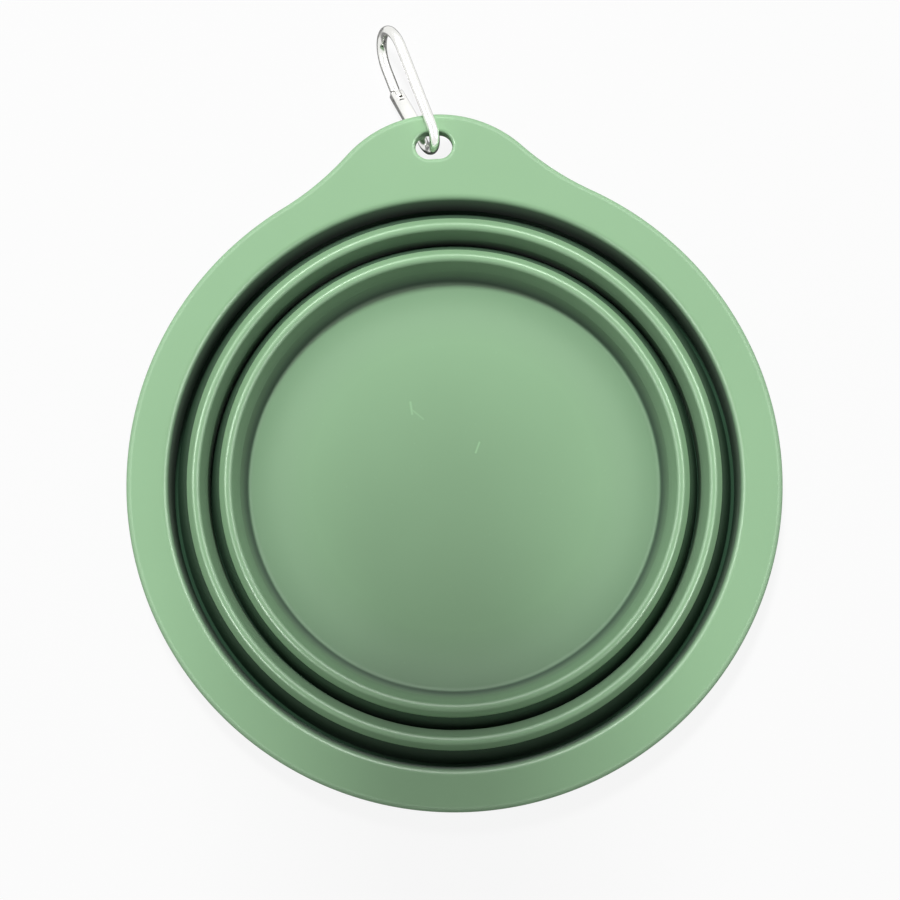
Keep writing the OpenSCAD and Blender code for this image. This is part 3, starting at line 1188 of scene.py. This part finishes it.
    def wire_path(self) -> np.ndarray:
        """The wire's middle line: half circle, long leg, larger half circle and short leg.

        Returns:
            An array of points with 3 coordinates.
        """
        near_s, far_t = -self.bend_back, self.near_bend_r - self.far_bend_r
        near_turn = np.radians(np.linspace(270, 90, self.near_steps))
        far_turn = np.radians(np.linspace(90, -90, self.far_steps))
        leg = np.linspace(near_s, self.far_s, self.leg_steps)[1:-1]
        nose = np.linspace(self.far_s, self.nose_s + self.end_round, self.nose_steps)[1:]
        near = np.column_stack([near_s + self.near_bend_r * np.cos(near_turn),
                                self.near_bend_r * np.sin(near_turn)])
        far = np.column_stack([self.far_s + self.far_bend_r * np.cos(far_turn),
                               far_t + self.far_bend_r * np.sin(far_turn)])
        flat = np.concatenate([near, np.column_stack([leg, np.full(len(leg), self.near_bend_r)]),
                               far, np.column_stack([nose, np.full(len(nose), far_t - self.far_bend_r)])])
        return at_level(flat, 0.0)

    def eye(self) -> Shell:
        """The flattened eye: a plate round the pivot whose rim rises evenly over the cam's turn.

        Returns:
            The plate, with its bore, in the gate's plane.
        """
        turn = np.radians(np.arange(-180.0, 180.0, self.eye_step))
        rise = np.clip(np.degrees(turn) / self.cam_turn, 0, 1)
        half, bore = self.tongue_t / 2, self.pivot_d / 2 + self.pin_gap
        spoke = np.column_stack([np.cos(turn), np.sin(turn)])
        outer = spoke * (self.eye_r + self.cam_rise * rise)[:, None]
        inner = spoke * bore
        rows = [at_level(ring, z)
                for ring, z in ((outer, -half), (outer, half), (inner, half), (inner, -half))]
        return skin(np.stack(rows, axis=1), Ends.JOINED)

    def tongue(self) -> Shell:
        """The flat tongue at the nose, with the notch that holds the latch pin.

        The section is a rectangle carried along the tongue. Its top drops into the notch, whose
        floor is the lower half of a circle.

        Returns:
            The tongue, in the gate's plane.
        """
        start, end = self.gate_l - self.tongue_l, self.gate_l + self.tongue_out
        middle, radius = self.gate_l - self.latch_back, self.latch_d / 2 + 2 * self.pin_gap
        top, low = self.gate_h / 2, self.tongue_trim - self.gate_h / 2
        bend = np.linspace(np.pi, 2 * np.pi, 13)
        along = np.concatenate([[start, middle - radius - self.notch_step],
                                middle + radius * np.cos(bend),
                                [middle + radius + self.notch_step, end]])
        height = np.concatenate([[top, top], radius * np.sin(bend), [top, top]])
        half, count = self.tongue_t / 2, len(along)
        rings = np.stack([np.column_stack([along, level, np.full(count, z)]) for level, z in
                          ((np.full(count, low), -half), (height, -half),
                           (height, half), (np.full(count, low), half))], axis=1)
        return skin(rings, Ends.CAPPED)

    def cheek(self, side: int) -> Shell:
        """One side of the forked gate.

        Its section is flat inside, above and below, and round outside. The section shrinks in
        height as a half circle towards the heel, and a little at the nose.

        Args:
            side: 1 or -1, the side of the hook's plane.

        Returns:
            The cheek, in the gate's plane.
        """
        inner, outer = self.tongue_t / 2 + self.side_gap, self.gate_w / 2
        top, radius = self.gate_h / 2, self.gate_round / 2
        low_turn = math.acos(outer / radius)
        turn = np.linspace(low_turn, math.asin(top / radius), 6)
        upper = np.column_stack([radius * np.cos(turn), radius * np.sin(turn)])
        section = np.concatenate([[[inner, -top]], upper[::-1] * [1, -1], upper, [[inner, top]]])
        heel = np.radians(np.linspace(self.heel_start, 90, 14))
        edge = np.radians(np.linspace(0, 90, 5))[1:]
        edge_s = self.gate_l - self.nose_edge
        along = np.concatenate([-top * np.cos(heel), [edge_s], edge_s + self.nose_edge * np.sin(edge)])
        scale = np.concatenate([np.sin(heel), [1.0], 1 - self.nose_in * (1 - np.cos(edge)) / top])
        count = len(section)
        rings = np.stack([np.column_stack([np.full(count, x), section[:, 1] * k, section[:, 0] * side])
                          for x, k in zip(along, scale)])
        return skin(rings, Ends.CAPPED)

    def gate(self) -> Shell:
        """The gate's two cheeks and the solid middle that joins them.

        Returns:
            The gate, in its own plane.
        """
        top = self.gate_h / 2
        middle = np.array([[self.heel_slot, -top], [self.gate_l - self.nose_slot, -top],
                           [self.gate_l - self.nose_slot, top], [self.heel_slot, top]])
        core = self.slab(middle, self.tongue_t + 2 * self.side_gap)
        return Shell.joined([self.cheek(1), self.cheek(-1), core])

    def pin(self, along: float, diameter: float) -> Shell:
        """A cross pin through the gate, with its ends rounded over."""
        half = self.gate_w / 2 - self.pin_in
        path = np.column_stack([np.full(5, along), np.zeros(5), np.linspace(-half, half, 5)])
        return self.tube(path, diameter / 2, sides=self.pin_sides, end_round=self.pin_in)

    def coil(self) -> Shell:
        """The gate's return spring: a wire along a helix about the gate's middle line.

        Returns:
            The coil, in the gate's plane.
        """
        turn = np.linspace(0, 2 * np.pi * self.spring_turns, self.turn_steps * self.spring_turns + 1)
        pitch = (self.spring_l - self.spring_wire) / self.spring_turns
        path = np.column_stack([self.spring_start + self.spring_wire / 2 + pitch * turn / (2 * np.pi),
                                self.spring_coil_r * np.cos(turn), self.spring_coil_r * np.sin(turn)])
        return self.tube(path, self.spring_wire / 2, sides=self.coil_sides, end_round=self.spring_end)

    def build(self, wire: bpy.types.Material, spring: bpy.types.Material) -> None:
        """Makes and places the hook's pieces.

        Args:
            wire: finish of the plated pieces.
            spring: finish of the spring and its plunger.
        """
        hook_axes, hook_origin = self.plane()
        gate_axes, pivot = self.gate_plane()
        near_s = -self.bend_back
        wire_r = self.wire_d / 2
        start, low, high = near_s - wire_r / 2, -self.near_bend_r - wire_r, -self.near_bend_r + wire_r
        lug = np.array([[start, low], [self.lug_end, low], [self.lug_end, high], [start, high]])
        bent = self.tube(self.wire_path(), wire_r, sides=self.wire_sides, end_round=self.end_round)
        frame = Shell.joined([
            bent.placed(hook_axes, hook_origin),
            self.slab(lug, self.tongue_t).placed(hook_axes, hook_origin),
            self.eye().placed(gate_axes, pivot), self.tongue().placed(gate_axes, pivot)])
        dress(frame.build("hook_wire"), wire, "hook", "hook_frame")
        for name, shell, finish, slot, node in (
                ("gate_bar", self.gate(), wire, Slot.WIRE, "gate"),
                ("gate_rivet", self.pin(0.0, self.pivot_d), wire, Slot.WIRE, "gate_pivot"),
                ("latch_cross_pin", self.pin(self.gate_l - self.latch_back, self.latch_d),
                 wire, Slot.WIRE, "latch_pin"),
                ("gate_coil", self.coil(), spring, Slot.SPRING, "gate_spring")):
            piece = shell.placed(gate_axes, pivot).build(name)
            dress(piece, finish, "gate", node)


def dress(piece: bpy.types.Object, finish: bpy.types.Material, body: str | None,
          node: str) -> None:
    """Gives a piece its finish, its body and the node that it stands for.

    Args:
        piece: the object.
        finish: its material.
        body: the body that it rides on, or None for a piece that rides on none.
        node: the frame's node that it replaces.
    """
    piece.data.materials.append(finish)
    if body is not None:
        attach(piece, body)
    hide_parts(node)
    LOG.info("%s: %d faces, stands for %s", piece.name, len(piece.data.polygons), node)


@dataclass(frozen=True)
class Softbox:
    """A flat lamp: place, aim and size in metres, and power in watts."""

    name: str
    place: Place
    aim: Place
    size: tuple[float, float]
    power: float
    in_gloss: bool = True
    lights: bool = True

    def build(self) -> None:
        """Adds the lamp, turned towards its aim."""
        lamp = bpy.data.lights.new(self.name, "AREA")
        lamp.shape = "RECTANGLE"
        lamp.size, lamp.size_y = self.size
        lamp.energy = self.power
        made = bpy.data.objects.new(self.name, lamp)
        made.visible_camera = False
        made.visible_glossy = self.in_gloss
        made.visible_diffuse = self.lights
        made.location = self.place
        away = Vector(self.aim) - Vector(self.place)
        made.rotation_euler = away.to_track_quat("-Z", "Y").to_euler()
        bpy.context.scene.collection.objects.link(made)


@dataclass(frozen=True)
class Card:
    """A level card that the camera doesn't see, in metres.

    It either shades what lies under it, or it is only there to be mirrored in bright metal.
    """

    name: str
    middle: Place
    size: tuple[float, float]
    tone: float
    turn: float = 0.0
    mirrored: bool = False
    grain: float = 30.0
    drift: float = 0.1

    def build(self) -> None:
        """Adds the card, turned about its middle by its turn in degrees."""
        corners = np.array([[-1, -1, 0], [1, -1, 0], [1, 1, 0], [-1, 1, 0]]) / 2
        spin = np.array(Matrix.Rotation(math.radians(self.turn), 3, "Z"))
        points = corners * [*self.size, 1.0] @ spin.T + self.middle
        made = Shell(points / MM, [np.array([[0, 1, 2, 3]])]).build(self.name)
        dark = bpy.data.materials.new(self.name)
        graph = Graph(dark)
        grain = graph.noise(graph.place(), self.grain)
        cloth = graph.node("ShaderNodeBsdfDiffuse", {}, {
            "Color": graph.blend(grain, shade(WHITE, (1 - self.drift) * self.tone),
                                 shade(WHITE, (1 + self.drift) * self.tone))})
        graph.finish(cloth.outputs["BSDF"])
        made.data.materials.append(dark)
        made.visible_camera = False
        made.visible_glossy = self.mirrored
        made.visible_diffuse = not self.mirrored
        made.visible_shadow = not self.mirrored


@dataclass
class Studio:
    """The table, the white surroundings, the soft lamps and the camera above the bowl."""

    camera_distance: float = 0.6
    camera_lean: float = 7.3
    camera_roll: float = 3.5
    camera_shift: tuple[float, float] = (-0.001235, 0.008285)
    aim_z: float = 0.013
    lens: float = 87.48
    clip: tuple[float, float] = (0.01, 20.0)
    table_r: float = 2.5
    table_sides: int = 96
    fill: float = 0.2
    cards: tuple[Card, ...] = (
        Card("overhead_flag", (-0.0377, -0.0154, 0.4277), (0.046, 0.3984), tone=0.025),
        Card("hook_card", (-0.0025, 0.112, 0.0004), (0.03, 0.066), tone=0.18, turn=17.0,
             mirrored=True),
    )
    overhead: Softbox = Softbox("overhead_lamp", (-0.12, 0.66, 1.547), aim=(0.0, 0.0, 0.0),
                                size=(0.248, 0.248), power=30.2, in_gloss=False)
    ring_lamps: int = 6
    ring_turns: tuple[float, float] = (-25.0, 205.0)
    ring_reach: float = 0.6
    ring_rise: float = 0.52
    ring_size: float = 0.26
    ring_power: float = 5.0

    def ring(self) -> list[Softbox]:
        """Lamps on an arc round the tab's side that only show in the gloss, as lines on ridges."""
        turns = np.radians(np.linspace(*self.ring_turns, self.ring_lamps)).tolist()
        places = [(self.ring_reach * math.cos(turn), self.ring_reach * math.sin(turn), self.ring_rise)
                  for turn in turns]
        size = (self.ring_size, self.ring_size)
        return [Softbox(f"ring_lamp_{step}", place, aim=(0.0, 0.0, 0.0), size=size,
                        power=self.ring_power, lights=False)
                for step, place in enumerate(places)]

    def camera(self) -> None:
        """Sets the camera square to a plane that leans back a little from the table."""
        roll, lean = math.radians(self.camera_roll), math.radians(self.camera_lean)
        up = Vector((math.sin(roll), math.cos(roll), 0))
        right = Vector((math.cos(roll), -math.sin(roll), 0))
        rise = Vector((0, 0, 1))
        back = rise * math.cos(lean) - up * math.sin(lean)
        head = up * math.cos(lean) + rise * math.sin(lean)
        view = bpy.data.cameras.new("view")
        view.lens = self.lens
        view.clip_start, view.clip_end = self.clip
        made = bpy.data.objects.new("view", view)
        spot = rise * self.aim_z + back * self.camera_distance
        spot += right * self.camera_shift[0] + head * self.camera_shift[1]
        turn = Matrix((right, head, back)).transposed().to_4x4()
        made.matrix_world = Matrix.Translation(spot) @ turn
        bpy.context.scene.collection.objects.link(made)
        bpy.context.scene.camera = made

    def surroundings(self) -> None:
        """Plain white where it is seen, and a softer fill where it only lights."""
        world = bpy.data.worlds.new("surroundings")
        bpy.context.scene.world = world
        graph = Graph(world)
        seen = graph.node("ShaderNodeBackground", {}, {"Color": shade(WHITE, 1), "Strength": 1.0})
        filled = graph.node("ShaderNodeBackground", {},
                            {"Color": shade(WHITE, 1), "Strength": self.fill})
        mixed = graph.node("ShaderNodeMixShader", {}, {
            0: seen_directly(graph), 1: filled.outputs["Background"], 2: seen.outputs["Background"]})
        graph.finish(mixed.outputs["Shader"], "ShaderNodeOutputWorld")

    def table(self) -> None:
        """A wide flat disc under the bowl."""
        turn = np.linspace(0, 2 * np.pi, self.table_sides, endpoint=False)
        ring = at_level(np.column_stack([np.cos(turn), np.sin(turn)]), 0.0)
        points = np.concatenate([ring * self.table_r / MM, [[0.0, 0.0, 0.0]]])
        index = np.arange(len(turn))
        fan = np.stack([index, np.roll(index, -1), np.full(len(turn), len(turn))], axis=-1)
        made = Shell(points, [fan]).build("table")
        if made.data.polygons[0].normal.z < 0:
            made.data.flip_normals()
        made.data.materials.append(PaleFloor().material())

    def build(self) -> None:
        """Adds the camera, the surroundings, the table and the lamps."""
        self.camera()
        self.surroundings()
        self.table()
        for piece in (*self.cards, self.overhead, *self.ring()):
            piece.build()
        bpy.context.scene.view_settings.view_transform = "Standard"


SILICONE = Silicone("sage_silicone", (0.25, 0.43, 0.244), marks=(
    Mark((-10.9, 23.9), (-10.6, 20.6), 0.55, 0.3),
    Mark((-10.4, 21.6), (-7.6, 19.0), 0.45, 0.2),
    Mark((7.7, 11.4), (6.5, 8.6), 0.45, 0.4)))
# The folds' silicone: the same stuff, made a little darker as painted shade for the folds.
WEB = Silicone("sage_silicone_fold_painted_shade", (0.225, 0.39, 0.223), roughness=0.5, gloss=0.15, dust=0.02)
WIRE = PlatedSteel("bright_plating", (0.88, 0.88, 0.85), roughness=0.13)
SPRING = PlatedSteel("spring_steel", (0.5, 0.51, 0.53), roughness=0.24)


def main() -> None:
    """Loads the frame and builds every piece."""
    logging.basicConfig(level=logging.INFO, format="%(name)s: %(message)s")
    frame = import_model()
    studio = Studio()
    studio.build()
    silicone, web = SILICONE.material(), WEB.material()
    wire, spring = WIRE.material(), SPRING.material()
    rings = BowlRings()
    rings.build(silicone, web)
    RimAndTab(rings).build(silicone)
    mounts = {mount["name"]: mount for mount in frame["record"]["mounts"]}
    hook = SnapHook(joints={joint["name"]: joint for joint in frame["joints"]},
                    loop_centre=mounts["hook_loop"]["pos_m"])
    hook.build(wire, spring)
    for holder in frame["nodes"]["gate_plunger"].material_slots:
        holder.material = spring
    LOG.info("gate_plunger: keeps its own mesh, with a steel finish")


if __name__ == "__main__":
    main()
